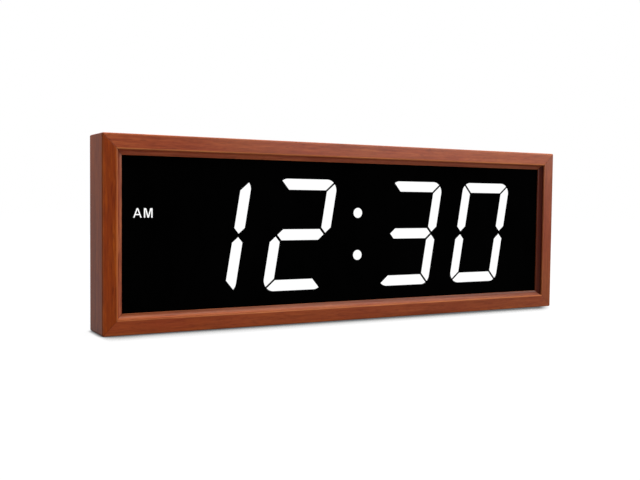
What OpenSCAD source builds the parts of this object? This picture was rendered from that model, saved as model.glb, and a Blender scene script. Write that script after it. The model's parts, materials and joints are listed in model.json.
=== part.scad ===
// Digital wall clock in a mitred wooden frame.
// Behind a smoked lens, four slanted seven-segment modules, a colon and two indicators share one board.
// The rear cover carries the board, three setting buttons, a coin cell cap, a power inlet and two hangers.
// Origin: middle of the footprint on the bottom face. +X is right seen from the front, +Y back, +Z up.

/* [Digits] */
// Height of a digit
digit_h = 76.2; // [60:0.1:90]
// Width of a digit, measured level
digit_w = 45.8; // [38:0.1:54]
// Width of a segment
stroke = 7.9; // [5:0.1:10]
// Lean of the digits to the right, in degrees
slant = 9.5; // [0:0.1:12]
// Radius of a digit's outer corners
corner_r = 7.6; // [2:0.1:8]
// Gap between two segments that meet at a corner
mitre_gap = 0.85; // [0.4:0.05:1.5]
// Gap between the segments that meet at the waist
waist_gap = 1.1; // [0.4:0.05:1.6]
// How far the digits sit below the middle of the frame
display_drop = 1.3; // [0:0.1:3]
// How far the digits sit to the right of the middle of the frame
display_shift = 0.8; // [0:0.1:3]
// Diameter of the colon's dots
dot_d = 7.6; // [4:0.1:10]
// Height of each dot above or below the middle of the digits
dot_rise = 14.9; // [9:0.1:20]

/* [Display modules] */
// Wall of a module beside its digit
module_side = 2.7; // [2:0.1:6]
// Wall of a module above and below its digit
module_end = 6.9; // [5:0.1:8]
// Depth of a module from its face to the board
module_d = 9.7; // [7:0.1:14]
// Gap between neighbouring modules
module_gap = 1.3; // [0.5:0.1:4]
// Clear width between the two middle modules
colon_bay = 27.2; // [20:0.1:40]
// Thickness of a light diffuser
diffuser_t = 2; // [1:0.1:3]
// Width of the ledge that a diffuser sits on
diffuser_ledge = 0.8; // [0.5:0.1:1.2]
// Play round a diffuser in its cell
diffuser_play = 0.1; // [0.05:0.01:0.2]
// Wall round the cells of the colon and the indicators
cell_wall = 3; // [2:0.1:4]
// Diameter of the pegs that hold a module to the board
peg_d = 3; // [2:0.1:4]
// Diameter of a peg's staked head
peg_head_d = 4.6; // [4.2:0.1:6]
// Thickness of a peg's staked head
peg_head_t = 0.8; // [0.5:0.1:1.2]
// Play round a peg in the board
peg_play = 0.1; // [0.05:0.05:0.3]
// Distance from a module's edges to the middle of a peg
peg_inset = 3.6; // [2.6:0.1:5]

/* [Indicators] */
// Distance from the window's left edge to the middle of the indicators
indicator_inset = 13.7; // [12:0.1:18]
// Height of each indicator above or below the middle of the digits
indicator_rise = 14.6; // [13:0.1:20]
// Width of an indicator's cell
indicator_w = 15; // [10:0.5:16]
// Height of an indicator's cell
indicator_h = 8.5; // [6:0.5:10]
// Thickness of the legend film
film_t = 0.2; // [0.1:0.05:0.25]

/* [Window] */
// Lens shown beside the outer digits
window_side = 35.4; // [32:0.1:60]
// Lens shown above and below the digits
window_end = 10.5; // [9:0.1:30]

/* [Frame moulding] */
// Width of the flat front face
face_w = 9; // [7:0.1:20]
// Width of the small step inside the face
quirk_w = 0.4; // [0.2:0.1:1.5]
// Depth of the small step inside the face
quirk_d = 0.5; // [0.3:0.1:1.5]
// Width of the cove that runs down to the lens
cove_w = 3.5; // [2.5:0.1:6]
// Depth of the cove
cove_d = 3; // [2:0.1:4]
// Thickness of the lip in front of the lens
lip_t = 1; // [0.8:0.1:2]
// How far the lip covers the lens
lip_w = 3.4; // [3.3:0.1:5]
// Width of the ledge that carries the rear cover
ledge_w = 6.5; // [5.6:0.1:7.5]
// Radius of the eased outer edges
arris_r = 0.8; // [0.3:0.1:1.5]
// Radius of the eased outer corners
corner_ease = 1; // [0.5:0.1:2]
// Length of each leg of a corner nail
nail_leg = 5; // [3:0.1:6]
// Thickness of a corner nail
nail_t = 0.6; // [0.4:0.1:1]
// Depth of a corner nail
nail_h = 10; // [5:0.5:12]

/* [Lens] */
// Thickness of the lens
lens_t = 2; // [1.5:0.1:4]
// Play round the lens in the frame
lens_play = 0.4; // [0.2:0.1:0.6]
// Thickness of the adhesive tape under the lip
tape_t = 0.5; // [0.2:0.1:1]
// Width of the adhesive tape
tape_w = 2.6; // [1.5:0.1:2.8]
// Air between the lens and the modules
lens_air = 0.3; // [0.3:0.1:2]

/* [Board] */
// Thickness of the circuit board
board_t = 1.6; // [1:0.1:2]
// Gap between the board and the frame
board_gap = 5; // [3:0.1:6]
// Distance from the board's edges to its screws
board_screw_inset = 8; // [6:0.1:9]
// Length of a light-emitting diode's package
led_l = 3.5; // [2:0.1:4]
// Width of a light-emitting diode's package
led_w = 2.8; // [2:0.1:3.4]
// Height of a light-emitting diode's package
led_t = 1.9; // [1:0.1:2.5]
// Rim round the cup of a diode's package
led_rim = 0.3; // [0.2:0.05:0.5]
// Distance of each diode from the middle of its segment
led_spread = 8; // [4:0.5:10]
// Side of the controller chip
controller_side = 12; // [8:0.5:14]
// Length of a driver chip
driver_l = 13; // [9:0.5:18]
// Width of a driver chip
driver_w = 7.5; // [4:0.5:8]
// Height of the chips
chip_t = 2.2; // [1:0.1:3]
// Gap between the controller chip and the parts beside it
chip_gap = 4; // [2:0.5:6]
// Diameter of the crystal's can
crystal_d = 3; // [2:0.1:4]
// Length of the crystal's can
crystal_l = 8; // [6:0.1:10]
// Gap between the crystal's can and the board
crystal_gap = 0.05; // [0.02:0.01:0.2]
// Diameter of a capacitor's can
capacitor_d = 6.3; // [4:0.1:8]
// Height of a capacitor
capacitor_h = 5.4; // [4:0.1:5.8]
// Margin of a capacitor's base round its can
capacitor_margin = 0.2; // [0.1:0.05:0.4]

/* [Infrared receiver] */
// Width of the receiver
receiver_w = 6; // [5:0.1:8]
// Height of the receiver
receiver_h = 7; // [5:0.1:9]
// Depth of the receiver without its dome
receiver_t = 4.4; // [3:0.1:5]
// Diameter of the receiver's dome
receiver_dome_d = 5; // [3:0.1:5]
// Diameter of the receiver's legs
receiver_leg_d = 0.8; // [0.5:0.1:1]
// Gap between the receiver and the board
receiver_gap = 1.6; // [1:0.1:2]
// Play round the receiver in its window
receiver_play = 0.2; // [0.1:0.05:0.4]

/* [Rear cover] */
// Thickness of the rear cover
cover_t = 3; // [2.6:0.1:5]
// Play between the rear cover and the frame
cover_play = 0.3; // [0.2:0.05:0.6]
// Bevel on the edges of the buttons, the cap and the inlet
edge_bevel = 0.4; // [0.2:0.05:0.5]
// Radius of the rear cover's corners
cover_corner_r = 2; // [1:0.1:4]
// Thickness of the locating rim inside the frame
rim_t = 1.6; // [1:0.1:2.5]
// Height of the locating rim
rim_h = 2; // [1:0.1:3]
// Diameter of the standoffs that carry the board
standoff_d = 7; // [6:0.1:9]
// Width of a ventilation slot
vent_w = 2; // [1:0.1:3]
// Length of a ventilation slot
vent_l = 22; // [10:0.5:26]
// Distance between ventilation slots
vent_pitch = 5; // [4:0.1:8]
// Number of ventilation slots
vent_count = 7; // [3:1:9]
// Height of the middle of the ventilation slots
vent_z = 86; // [80:0.5:92]

/* [Screws] */
// Diameter of the wood screws in the rear cover
cover_screw_d = 2.6; // [2:0.1:3]
// Diameter of a wood screw's countersunk head
cover_screw_head_d = 5.2; // [4.4:0.1:5.4]
// Length of a wood screw
cover_screw_l = 12; // [9:0.5:14]
// Distance of the outer wood screws from the corners
cover_screw_end = 30; // [22:1:50]
// Distance of the inner wood screws from the middle
cover_screw_mid = 60; // [40:1:90]
// Diameter of the board's screws
board_screw_d = 2.6; // [2:0.1:3]
// Diameter of a board screw's head
board_screw_head_d = 5; // [4:0.1:6]
// Thickness of a board screw's head
board_screw_head_t = 1.8; // [1:0.1:2.4]
// Length of a board screw under its head
board_screw_l = 7; // [5:0.5:8]
// Play round a screw in what it clamps
screw_play = 0.2; // [0.1:0.05:0.4]
// Play round a screw in what holds it
thread_play = 0.05; // [0.02:0.01:0.1]
// Depth of a screw's cross recess
recess_d = 0.8; // [0.4:0.1:0.9]

/* [Setting buttons] */
// Diameter of a button
button_d = 8; // [6:0.1:10]
// Play round a button in the cover
button_play = 0.25; // [0.1:0.05:0.4]
// Travel of a button
button_travel = 0.5; // [0.2:0.05:0.6]
// Distance between buttons
button_pitch = 16; // [13:0.5:24]
// Middle of the row of buttons, sideways
button_x = -84; // [-100:1:-60]
// Height of the row of buttons
button_z = 32; // [28:0.5:40]
// Radius that a button's retaining flange adds
flange_w = 1.3; // [0.8:0.1:2]
// Thickness of a button's flange
flange_t = 1; // [0.6:0.1:1.5]
// Diameter of a button's stem
stem_d = 4; // [3:0.1:5]
// Length of a button's stem
stem_l = 1.15; // [0.8:0.05:3]
// Depth of the dish round the buttons
dish_d = 1; // [0.6:0.1:1.5]
// Margin of the dish round the buttons
dish_margin = 5; // [3:0.1:8]
// Side of a push switch
switch_side = 6; // [5:0.1:8]
// Height of a push switch
switch_h = 3.5; // [3:0.1:5]
// Diameter of a switch's plunger
plunger_d = 3.5; // [2.5:0.1:4]
// How far a plunger stands out of its switch
plunger_h = 1.5; // [1:0.1:2]
// Length of a plunger inside its switch
plunger_hold = 1.6; // [1:0.1:2]
// Play round a plunger
plunger_play = 0.1; // [0.05:0.01:0.2]

/* [Coin cell] */
// Diameter of the coin cell
cell_d = 20; // [16:0.1:24]
// Thickness of the coin cell
cell_t = 3.2; // [2:0.1:4]
// Sideways place of the coin cell
cell_x = 62; // [50:1:80]
// Height of the middle of the coin cell
cell_z = 37; // [35:0.5:45]
// Play round the cell in its holder
cell_play = 0.3; // [0.1:0.05:0.5]
// Wall of the cell holder
holder_wall = 2.2; // [1.5:0.1:3]
// Height of the contact under the cell
contact_h = 1.2; // [0.8:0.1:1.6]
// Diameter of the contact under the cell
contact_d = 11; // [8:0.5:14]
// Gap between the cell and its cap
cell_gap = 0.3; // [0.2:0.05:0.6]
// Width of the cap's rim on the cover
cap_rim = 2.2; // [1.6:0.1:3]
// Depth of the cap's seat in the cover
cap_seat_d = 2; // [1.4:0.1:2.2]
// How far the cap lies below the cover's face
cap_sink = 0.3; // [0.2:0.1:0.6]
// Play round the cap
cap_play = 0.25; // [0.1:0.05:0.4]
// How far a bayonet lug reaches beyond the cap's neck
lug_w = 1.4; // [1:0.1:1.6]
// Thickness of a bayonet lug
lug_t = 1.4; // [1:0.1:2]
// Play between a lug and the cover
lug_play = 0.15; // [0.1:0.05:0.3]
// Angle that a lug spans
lug_angle = 30; // [20:1:40]
// Spare angle of the notches that the lugs enter by
lug_spare = 4; // [2:1:8]
// Turn that frees the cap
cap_turn = 60; // [45:1:75]
// Length of the coin slot in the cap
coin_slot_l = 17; // [12:0.5:20]
// Width of the coin slot
coin_slot_w = 2.2; // [1.5:0.1:3]
// Depth of the coin slot
coin_slot_d = 1.1; // [0.6:0.1:1.2]

/* [Power inlet] */
// Distance from the frame's right side to the middle of the inlet
inlet_inset = 26; // [24:0.5:28]
// Height of the middle of the inlet
inlet_z = 45; // [42:0.5:50]
// Diameter of the threaded barrel
inlet_barrel_d = 8; // [7.6:0.1:10]
// Diameter of the flange
inlet_flange_d = 12; // [11:0.1:14]
// Play round the flange in the cover
inlet_play = 0.2; // [0.1:0.05:0.4]
// Thickness of the flange
inlet_flange_t = 1.5; // [1:0.1:1.8]
// Length of the inlet from its face to its back
inlet_l = 14; // [12:0.1:16]
// Diameter of the socket
inlet_socket_d = 6; // [5.7:0.1:6.4]
// Depth of the socket
inlet_socket_l = 10; // [8:0.1:11]
// Diameter of the centre pin
inlet_pin_d = 2.1; // [1.9:0.1:2.5]
// Diameter of the pin's shank in the body
inlet_shank_d = 1.6; // [1.2:0.1:1.8]
// Distance of the centre pin's end below the face
inlet_pin_sink = 1; // [0.5:0.1:2]
// Thickness of the boss under the inlet
inlet_boss_t = 1.5; // [1:0.1:2]
// Width of the inlet's nut across its flats
inlet_nut_af = 11; // [10.5:0.1:13]
// Thickness of the inlet's nut
inlet_nut_t = 2.4; // [1.6:0.1:3]
// Length of the solder tags
tag_l = 3; // [2:0.1:4]
// Thickness of the solder tags
tag_t = 0.6; // [0.4:0.1:0.8]
// Width of the solder tags
tag_w = 2; // [1.6:0.1:2.2]
// Distance between the solder tags
tag_pitch = 5; // [4:0.1:5.4]
// Diameter of the inlet's wires
wire_d = 1.4; // [1:0.1:1.6]
// Distance from the inlet to the notch in the board
notch_r = 8.5; // [8:0.1:9.5]

/* [Hangers] */
// Distance between the two hangers
hanger_spacing = 240; // [200:1:250]
// Height of the middle of the keyholes' entry holes
hanger_z = 80; // [76:0.5:88]
// Width of a hanger plate
hanger_w = 20; // [18:0.5:26]
// Thickness of a hanger plate
hanger_t = 1.2; // [1:0.1:1.6]
// Diameter of a keyhole's entry hole
entry_d = 10; // [8:0.1:11]
// Width of a keyhole's slot
slot_w = 5; // [4.4:0.1:6]
// Rise of the slot above the entry hole
slot_rise = 9; // [7:0.1:12]
// Margin of the cover's window round a keyhole
window_margin = 2; // [1:0.1:3]
// Room for a hanger's screw above and below that window
hanger_end = 6.2; // [5.6:0.1:8]
// Corner radius of a hanger plate
hanger_corner_r = 3; // [1:0.1:4]
// Play round a hanger plate in its recess
hanger_play = 0.15; // [0.1:0.05:0.3]
// Diameter of a hanger's screws
hanger_screw_d = 2.2; // [1.8:0.1:2.4]
// Diameter of a hanger screw's head
hanger_screw_head_d = 4; // [3.6:0.1:4.2]
// Length of a hanger screw
hanger_screw_l = 4.6; // [4:0.1:5]
// Diameter of the boss behind a hanger screw
hanger_boss_d = 5.4; // [5:0.1:6]
// Height of the boss behind a hanger screw
hanger_boss_h = 2.4; // [2:0.1:3]

/* [Hidden] */
$fn = 64;

// How far a cut reaches past the faces that it opens
over = 1;
// How far a rounding circle reaches past the edges that it joins, so that it crosses them
arc_reach = 0.02;

// Colours
wood = [0.50, 0.25, 0.13];
steel = [0.72, 0.72, 0.73];
black_plastic = [0.06, 0.06, 0.065];
white_plastic = [0.95, 0.95, 0.93];
board_green = [0.08, 0.28, 0.16];
brass = [0.80, 0.65, 0.32];

// Display layout
lean = tan(slant);
module_w = digit_w + digit_h * lean + 2 * module_side;
module_h = digit_h + 2 * module_end;
inner_x = (colon_bay + module_w) / 2;
outer_x = inner_x + module_w + module_gap;
digit_x = [for (x = [-outer_x, -inner_x, inner_x, outer_x]) display_shift + x];

// Frame sizes
sight_w = face_w + quirk_w + cove_w;
rail_t = sight_w - lip_w;
window_w = 2 * outer_x + digit_w + 2 * window_side;
window_h = digit_h + 2 * window_end;
frame_w = window_w + 2 * sight_w;
frame_h = window_h + 2 * sight_w;
middle_z = frame_h / 2;
display_z = middle_z - display_drop;
inner_w = frame_w - 2 * rail_t;
inner_h = frame_h - 2 * rail_t;

// Depths behind the front face
lip_front = quirk_d + cove_d;
cove_r = (cove_w ^ 2 + cove_d ^ 2) / (2 * cove_d);
lip_back = lip_front + lip_t;
lens_front = lip_back + tape_t;
lens_back = lens_front + lens_t;
module_front = lens_back + lens_air;
board_front = module_front + module_d;
board_back = board_front + board_t;
switch_top = board_back + switch_h;
plunger_top = switch_top + plunger_h;
button_stack = switch_h + plunger_h + stem_l + flange_t + button_play;
cell_stack = contact_h + cell_t + cell_gap + lug_t + lug_play;
rear_bay = max(button_stack, cell_stack);
cover_in = board_back + rear_bay;
frame_d = cover_in + cover_t;

// Board
board_w = inner_w - 2 * board_gap;
board_h = inner_h - 2 * board_gap;
board_screw_x = board_w / 2 - board_screw_inset;
board_screw_z = board_h / 2 - board_screw_inset;
board_screws_at = [
  for (x = [-board_screw_x, 0, board_screw_x], s = [-1, 1]) [x, middle_z + s * board_screw_z]
];
indicator_x = indicator_inset - window_w / 2;

// Rear cover
cover_w = frame_w - 2 * (rail_t - ledge_w) - 2 * cover_play;
cover_h = frame_h - 2 * (rail_t - ledge_w) - 2 * cover_play;
ledge_mid = rail_t - ledge_w / 2;
cover_screw_out = frame_w / 2 - cover_screw_end;
cover_screw_x = [-cover_screw_out, -cover_screw_mid, cover_screw_mid, cover_screw_out];
cover_screws_at = concat(
  [for (x = cover_screw_x, z = [ledge_mid, frame_h - ledge_mid]) [x, z]],
  [for (s = [-1, 1]) [s * (frame_w / 2 - ledge_mid), middle_z]]
);

// Buttons
button_at = [for (i = [-1, 0, 1]) [button_x + i * button_pitch, button_z]];
button_face = frame_d - dish_d + button_travel;
flange_back = cover_in - button_play;

// Coin cell
cell_bottom = board_back + contact_h;
cell_top = cell_bottom + cell_t;
neck_r = cell_d / 2 + cell_play + lug_w / 2;
cap_r = neck_r + cap_rim;
lug_r = neck_r + lug_w;
cap_seat = frame_d - cap_seat_d;

// Power inlet
inlet_x = frame_w / 2 - inlet_inset;
inlet_back = frame_d - inlet_l;
tag_end = inlet_back - tag_l;
wire_y = inlet_back - tag_l / 2;
wire_x = (digit_x[3] + module_w / 2 + inlet_x - notch_r) / 2;

// Hangers
keyhole_h = entry_d / 2 + slot_rise + slot_w / 2;
keyhole_mid = hanger_z + (slot_rise + slot_w / 2 - entry_d / 2) / 2;
hanger_h = keyhole_h + 2 * (window_margin + hanger_end);
hanger_screw_rise = hanger_h / 2 - hanger_end / 2;
hanger_screws_at = [
  for (x = [-hanger_spacing / 2, hanger_spacing / 2], s = [-1, 1]) [x, keyhole_mid + s * hanger_screw_rise]
];

// Shared shapes

// A flat shape in the plane of the front, from one depth to another
module slab(from, to) {
  translate([0, to - frame_d / 2, 0])
    rotate([90, 0, 0])
      linear_extrude(to - from)
        children();
}

// A round post along the depth
module post(at, from, to, d) {
  translate([at.x, from - frame_d / 2, at.y])
    rotate([-90, 0, 0])
      cylinder(d = d, h = to - from);
}

// A turned shape about an axis along the depth: the profile is radius against depth
module turned(at) {
  translate([at.x, -frame_d / 2, at.y])
    rotate([-90, 0, 0])
      rotate_extrude()
        children();
}

// A rectangle with round corners
module rounded(w, h, r) {
  square([w - 2 * r, h], center = true);
  square([w, h - 2 * r], center = true);
  for (x = [-1, 1], y = [-1, 1])
    translate([x * (w / 2 - r), y * (h / 2 - r)])
      circle(r);
}

// A slot with round ends, along X
module slot(l, w) {
  square([l - w, w], center = true);
  for (s = [-1, 1])
    translate([s * (l - w) / 2, 0])
      circle(d = w);
}

// A rectangular ring
module ring(w, h, t) {
  difference() {
    square([w, h], center = true);
    square([w - 2 * t, h - 2 * t], center = true);
  }
}

// Part of a round ring, between two angles
module ring_sector(r_in, r_out, middle, span) {
  reach = 2 * r_out;
  intersection() {
    difference() {
      circle(r_out);
      circle(r_in);
    }
    polygon([
      [0, 0],
      [reach * cos(middle - span / 2), reach * sin(middle - span / 2)],
      [reach * cos(middle), reach * sin(middle)],
      [reach * cos(middle + span / 2), reach * sin(middle + span / 2)]
    ]);
  }
}

// The cross recess of a screw whose head faces the front or the back
module cross_recess(at, from, to, l) {
  w = l / 4;
  slab(from, to)
    translate(at) {
      square([l, w], center = true);
      square([w, l], center = true);
    }
}

// Segments of a digit

// Points of the top bar and of the upper right bar of an upright digit, drawn in by an inset
function top_bar(inset) =
  let (w = digit_w / 2, h = digit_h / 2, e = sqrt(2) * (mitre_gap / 2 + inset))
  [
    [-w + inset + e, h - inset],
    [w - inset - e, h - inset],
    [w - stroke + inset - e, h - stroke + inset],
    [-w + stroke - inset + e, h - stroke + inset]
  ];
function side_bar(inset) =
  let (w = digit_w / 2, h = digit_h / 2, s = inset / cos(slant))
  let (e = sqrt(2) * (mitre_gap / 2 + inset), m = sqrt(2) * (waist_gap / 2 + inset))
  [
    [w - s, h - s - e],
    [w - s, stroke / 2 - s + m],
    [w - stroke / 2, m],
    [w - stroke + s, stroke / 2 - s + m],
    [w - stroke + s, h - stroke + s - e]
  ];
function middle_bar(inset) =
  let (w = (digit_w - stroke) / 2 - sqrt(2) * (waist_gap / 2 + inset), h = stroke / 2 - inset)
  [[-w, 0], [h - w, h], [w - h, h], [w, 0], [w - h, -h], [h - w, -h]];
function leaned(points, sx = 1, sz = 1) = [for (p = points) [sx * p.x + sz * p.y * lean, sz * p.y]];

// What rounding takes off a digit's corners: each corner beyond a circle that just crosses both edges
module digit_corners(inset) {
  r = corner_r - inset;
  reach = r + over;
  rise = digit_h / 2 - inset;
  side = digit_w / 2 - inset / cos(slant);
  function corner(sx, sz) = [sx * side + sz * rise * lean, sz * rise];
  function centre(sx, sz) = [sx * (side - r / cos(slant)) + sz * (rise - r) * lean, sz * (rise - r)];
  for (sx = [-1, 1], sz = [-1, 1]) {
    c = centre(sx, sz);
    difference() {
      polygon([c, c + [0, sz * reach], 2 * corner(sx, sz) - c, c + sx * reach * [cos(slant), -sin(slant)]]);
      translate(c)
        circle(r + arc_reach);
    }
  }
}

// All seven segments of the digit at a place
module segments(x, inset) {
  translate([x, display_z])
    difference() {
      union() {
        for (s = [-1, 1])
          polygon(leaned(top_bar(inset), 1, s));
        for (sx = [-1, 1], sz = [-1, 1])
          polygon(leaned(side_bar(inset), sx, sz));
        polygon(leaned(middle_bar(inset)));
      }
      digit_corners(inset);
    }
}

// Middles of a segment's diodes, two to a segment
led_bar_x = (digit_w - stroke) / 2;
led_bar_z = (digit_h - stroke) / 2;
leds_flat = [for (z = [-led_bar_z, 0, led_bar_z], s = [-1, 1]) [s * led_spread, z]];
leds_side = [
  for (x = [-led_bar_x, led_bar_x], z = [-digit_h / 4, digit_h / 4], s = [-1, 1]) [x, z + s * led_spread]
];
leds_at = concat(
  [for (x = digit_x, p = leaned(concat(leds_flat, leds_side))) [x + p.x, display_z + p.y]],
  [for (s = [-1, 1]) [display_shift, display_z + s * dot_rise]],
  [for (s = [-1, 1]) [indicator_x, display_z + s * indicator_rise]]
);

// Wooden frame

// Section of the moulding: depth against distance from the outer edge
module moulding() {
  difference() {
    union() {
      square([frame_d, rail_t]);
      square([lip_back, sight_w]);
    }
    translate([-over, face_w])
      square([quirk_d + over, sight_w]);
    translate([lip_front - cove_r, sight_w])
      circle(cove_r);
    translate([cover_in, rail_t - ledge_w])
      square([cover_t + over, ledge_w + over]);
    for (x = [0, 1])
      translate([x * frame_d, 0])
        mirror([x, 0])
          difference() {
            translate([-over, -over])
              square(arris_r + over);
            translate([arris_r, arris_r])
              circle(arris_r);
          }
  }
}

// A length of moulding lying along X at Z = 0, mitred at both ends
module rail(length) {
  intersection() {
    translate([-length / 2, -frame_d / 2, 0])
      rotate([90, 0, 90])
        linear_extrude(length)
          moulding();
    slab(0, frame_d)
      polygon([
        [-length / 2, 0],
        [length / 2, 0],
        [length / 2 - sight_w, sight_w],
        [sight_w - length / 2, sight_w]
      ]);
  }
}

// Corner nails: an angle of steel strip across each mitre, driven in from the ledge
module nails() {
  nail_at = ledge_mid - nail_t / 2;
  slab(cover_in - nail_h, cover_in)
    for (sx = [-1, 1], sz = [-1, 1])
      translate([0, middle_z])
        scale([sx, sz])
          translate([nail_at - frame_w / 2, nail_at - frame_h / 2]) {
            square([nail_leg, nail_t]);
            square([nail_t, nail_leg]);
          }
}

// A rail of the frame with its corners eased, and slots for the nails and screws
module frame_rail() {
  color(wood)
    difference() {
      intersection() {
        children();
        slab(-over, frame_d + over)
          translate([0, middle_z])
            rounded(frame_w, frame_h, corner_ease);
      }
      nails();
      for (p = cover_screws_at)
        post(p, frame_d - cover_screw_l - over, cover_in + over, cover_screw_d + 2 * thread_play);
    }
}

module bottom_rail() {
  frame_rail()
    rail(frame_w);
}

module top_rail() {
  frame_rail()
    translate([0, 0, frame_h])
      mirror([0, 0, 1])
        rail(frame_w);
}

module left_stile() {
  frame_rail()
    translate([-frame_w / 2, 0, middle_z])
      rotate([0, 90, 0])
        rail(frame_h);
}

module right_stile() {
  frame_rail()
    translate([frame_w / 2, 0, middle_z])
      rotate([0, -90, 0])
        rail(frame_h);
}

module corner_nails() {
  color(steel)
    nails();
}

// Lens

module lens() {
  color([0.02, 0.02, 0.022])
    slab(lens_front, lens_back)
      translate([0, middle_z])
        square([inner_w - 2 * lens_play, inner_h - 2 * lens_play], center = true);
}

module lens_tape() {
  color([0.1, 0.1, 0.1])
    slab(lip_back, lens_front)
      translate([0, middle_z])
        ring(inner_w - 2 * lens_play, inner_h - 2 * lens_play, tape_w);
}

// Display modules

// Pegs with staked heads that hold a module of a size to the board
function peg_points(x, w, h) =
  [for (sx = [-1, 1], sz = [-1, 1]) [x + sx * (w / 2 - peg_inset), display_z + sz * (h / 2 - peg_inset)]];
module pegs(points) {
  for (p = points) {
    post(p, board_front, board_back, peg_d);
    post(p, board_back, board_back + peg_head_t, peg_head_d);
  }
}

// A moulded block with a stepped light cell for each diffuser: children are the cells, wide then narrow
module cell_block(x, w, h) {
  color(black_plastic) {
    difference() {
      slab(module_front, board_front)
        translate([x, display_z])
          square([w, h], center = true);
      slab(module_front - over, module_front + diffuser_t)
        children(0);
      slab(module_front, board_front + over)
        children(1);
    }
    pegs(peg_points(x, w, h));
  }
}

module digit_housing(x) {
  cell_block(x, module_w, module_h) {
    segments(x, 0);
    segments(x, diffuser_ledge);
  }
}

module digit_segments(x) {
  color(white_plastic)
    slab(module_front, module_front + diffuser_t)
      segments(x, diffuser_play);
}

module hour_tens_housing() { digit_housing(digit_x[0]); }
module hour_units_housing() { digit_housing(digit_x[1]); }
module minute_tens_housing() { digit_housing(digit_x[2]); }
module minute_units_housing() { digit_housing(digit_x[3]); }
module hour_tens_segments() { digit_segments(digit_x[0]); }
module hour_units_segments() { digit_segments(digit_x[1]); }
module minute_tens_segments() { digit_segments(digit_x[2]); }
module minute_units_segments() { digit_segments(digit_x[3]); }

// The colon's two round cells
module dots(inset) {
  for (s = [-1, 1])
    translate([display_shift, display_z + s * dot_rise])
      circle(d = dot_d - 2 * inset);
}
colon_w = dot_d + 2 * cell_wall;
colon_h = 2 * dot_rise + dot_d + 2 * cell_wall + 4 * peg_inset;

module colon_housing() {
  cell_block(display_shift, colon_w, colon_h) {
    dots(0);
    dots(diffuser_ledge);
  }
}

module colon_dots() {
  color(white_plastic)
    slab(module_front, module_front + diffuser_t)
      dots(diffuser_play);
}

// The two indicator cells, and between them the window of the infrared receiver
module indicator_cells(inset) {
  for (s = [-1, 1])
    translate([indicator_x, display_z + s * indicator_rise])
      square([indicator_w - 2 * inset, indicator_h - 2 * inset], center = true);
}
module receiver_window() {
  translate([indicator_x, display_z])
    square([receiver_w + 2 * receiver_play, receiver_h + 2 * receiver_play], center = true);
}
indicator_block_w = indicator_w + 2 * cell_wall;
film_h = 2 * indicator_rise + indicator_h + 2 * cell_wall;
indicator_block_h = film_h + 4 * peg_inset;

module indicator_housing() {
  cell_block(indicator_x, indicator_block_w, indicator_block_h) {
    union() {
      indicator_cells(0);
      receiver_window();
    }
    union() {
      indicator_cells(diffuser_ledge);
      receiver_window();
    }
  }
}

module indicator_diffusers() {
  color(white_plastic)
    slab(module_front, module_front + diffuser_t)
      indicator_cells(diffuser_play);
}

// Dark film with the legends, over the indicators' diffusers
module legend_film() {
  color(black_plastic)
    slab(module_front - film_t, module_front)
      difference() {
        translate([indicator_x, display_z])
          square([indicator_block_w, film_h], center = true);
        receiver_window();
      }
}

// Board and what is soldered to it

module main_board() {
  all_pegs = concat(
    [for (x = digit_x, p = peg_points(x, module_w, module_h)) p],
    peg_points(display_shift, colon_w, colon_h),
    peg_points(indicator_x, indicator_block_w, indicator_block_h)
  );
  notch_w = board_w / 2 - inlet_x + notch_r;
  color(board_green)
    slab(board_front, board_back)
      difference() {
        translate([0, middle_z])
          square([board_w, board_h], center = true);
        translate([inlet_x - notch_r, inlet_z - notch_r])
          square([notch_w + over, 2 * notch_r]);
        for (p = all_pegs)
          translate(p)
            circle(d = peg_d + 2 * peg_play);
        for (p = board_screws_at)
          translate(p)
            circle(d = board_screw_d + 2 * screw_play);
      }
}

// Diodes: a package with a shallow round cup
module segment_leds() {
  cup_d = led_w - 2 * led_rim;
  cup_h = led_t / 5;
  color([0.95, 0.9, 0.7])
    for (p = leds_at)
      difference() {
        slab(board_front - led_t, board_front)
          translate(p)
            square([led_l, led_w], center = true);
        post(p, board_front - led_t - over, board_front - led_t + cup_h, cup_d);
      }
}

// A chip with a bevelled top and a dot that marks its first pin
module chip(at, l, w) {
  bevel = chip_t / 4;
  top = board_back + chip_t;
  mark_at = at + [w / 4 - l / 2, w / 4];
  difference() {
    union() {
      slab(board_back, top - bevel)
        translate(at)
          square([l, w], center = true);
      slab(top - bevel, top)
        translate(at)
          square([l - bevel, w - bevel], center = true);
    }
    post(mark_at, top - bevel / 2, top + over, w / 8);
  }
}

module control_chips() {
  driver_x = (controller_side + driver_l) / 2 + chip_gap;
  color([0.12, 0.12, 0.13]) {
    chip([0, display_z], controller_side, controller_side);
    for (s = [-1, 1])
      chip([s * driver_x, display_z], driver_l, driver_w);
  }
}

// Crystal: a can lying on the board, with its two leads bent down into it
module clock_crystal() {
  lead_d = crystal_d / 6;
  axis = board_back + crystal_d / 2 + crystal_gap;
  at = [-crystal_l / 2, display_z + controller_side / 2 + chip_gap];
  color(steel) {
    translate([at.x, axis - frame_d / 2, at.y])
      rotate([0, 90, 0])
        cylinder(d = crystal_d, h = crystal_l);
    for (s = [-1, 1]) {
      lead_at = at + [crystal_l + crystal_d / 2, s * crystal_d / 4];
      translate([at.x + crystal_l, axis - frame_d / 2, lead_at.y])
        rotate([0, 90, 0])
          cylinder(d = lead_d, h = crystal_d / 2);
      translate([lead_at.x, axis - frame_d / 2, lead_at.y])
        sphere(d = lead_d);
      post(lead_at, board_back, axis, lead_d);
    }
  }
}

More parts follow.
